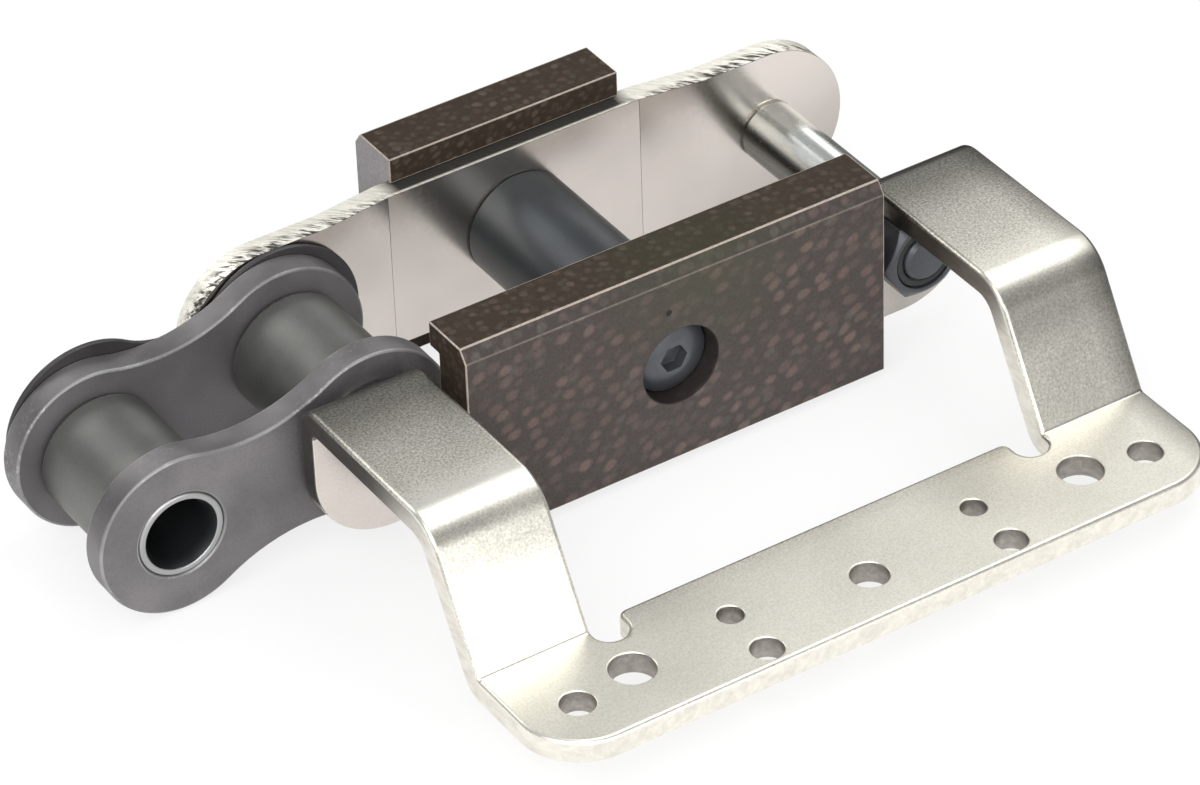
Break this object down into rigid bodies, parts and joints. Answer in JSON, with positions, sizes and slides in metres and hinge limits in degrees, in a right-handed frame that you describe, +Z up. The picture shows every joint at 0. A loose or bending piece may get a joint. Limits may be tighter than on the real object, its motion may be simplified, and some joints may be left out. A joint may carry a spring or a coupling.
{
  "type": "conveyor chain",
  "caption": "Conveyor chain pitch: a roller inner link hinged to an outer link with an offset attachment bar and laminate glide blocks.",
  "frame": {"origin": "middle of the right pin, half way between the chain's two rows of plates", "axes": "X along the chain towards the next link, Y across the chain away from the attachment bar, Z up out of the chain line"},
  "size_m": [0.1159, 0.0882, 0.028],
  "materials": {
    "satin_nickel": "satin nickel plate with a fine grain",
    "polished_nickel": "polished nickel plate, warm grey",
    "pin_steel": "ground and polished",
    "dark_nut": "blackened steel",
    "lock_ring": "black moulded ring",
    "black_tube": "black satin",
    "laminate": "brown cloth laminate with a woven surface",
    "black_screw": "blackened steel, satin",
    "dark_steel": "dark grey phosphated steel",
    "dark_cover": "dark grey steel",
    "bush_steel": "turned steel with bright ends",
    "roller_steel": "grey steel, satin"
  },
  "bodies": {
    "outer_link": {"attachment_plate": "satin_nickel", "far_link_plate": "polished_nickel", "joint_pin": "pin_steel", "right_pin": "pin_steel", "joint_pin_nut": "dark_nut", "right_pin_nut": "dark_nut", "joint_nut_ring": "lock_ring", "right_nut_ring": "lock_ring", "thrust_washer": "pin_steel", "spacer_tube": "black_tube", "near_glide_block": "laminate", "far_glide_block": "laminate", "block_screw": "black_screw", "block_nut": "dark_nut"},
    "inner_link": {"near_inner_plate": "dark_steel", "far_inner_plate": "dark_steel", "cover_plate": "dark_cover", "joint_bush": "bush_steel", "free_bush": "bush_steel"},
    "joint_roller": {"joint_roller": "roller_steel"},
    "free_roller": {"free_roller": "roller_steel"}
  },
  "joints": [
    {"name": "link_joint", "type": "hinge", "parent": "outer_link", "child": "inner_link", "pos_m": [-0.06985, 0, 0], "axis": [0, 1, 0], "range_deg": [-137, 153]},
    {"name": "joint_roller_turn", "type": "hinge", "parent": "inner_link", "child": "joint_roller", "pos_m": [-0.06985, 0, 0], "axis": [0, 1, 0], "continuous": true},
    {"name": "free_roller_turn", "type": "hinge", "parent": "inner_link", "child": "free_roller", "pos_m": [-0.095, 0, -0.00353], "axis": [0, 1, 0], "continuous": true}
  ]
}
